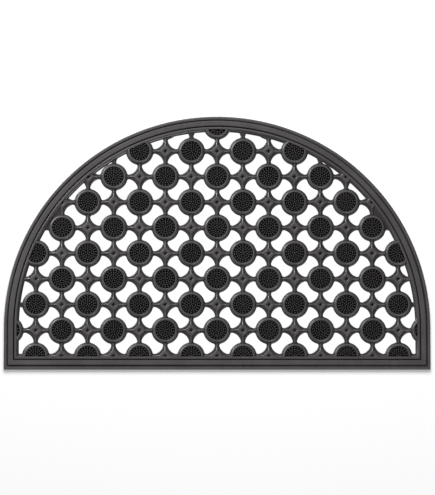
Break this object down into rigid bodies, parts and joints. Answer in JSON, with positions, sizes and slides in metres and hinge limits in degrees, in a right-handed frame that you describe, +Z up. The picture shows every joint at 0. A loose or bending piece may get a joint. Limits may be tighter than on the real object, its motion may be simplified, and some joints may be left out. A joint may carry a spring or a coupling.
{
  "type": "rubber doormat",
  "caption": "Half-round openwork rubber scraper doormat: pin discs and star pads on a lattice inside a stepped border, with drainage holes.",
  "frame": {"origin": "on the floor under the middle of the mat", "axes": "+X along the straight front edge to its right end, +Y from the straight front edge to the half-round back edge, +Z up"},
  "size_m": [0.75, 0.45, 0.01],
  "materials": {
    "rubber": "matt moulded black rubber, slightly rubbed on its high edges"
  },
  "bodies": {
    "root": {"mat": "rubber"}
  },
  "joints": []
}
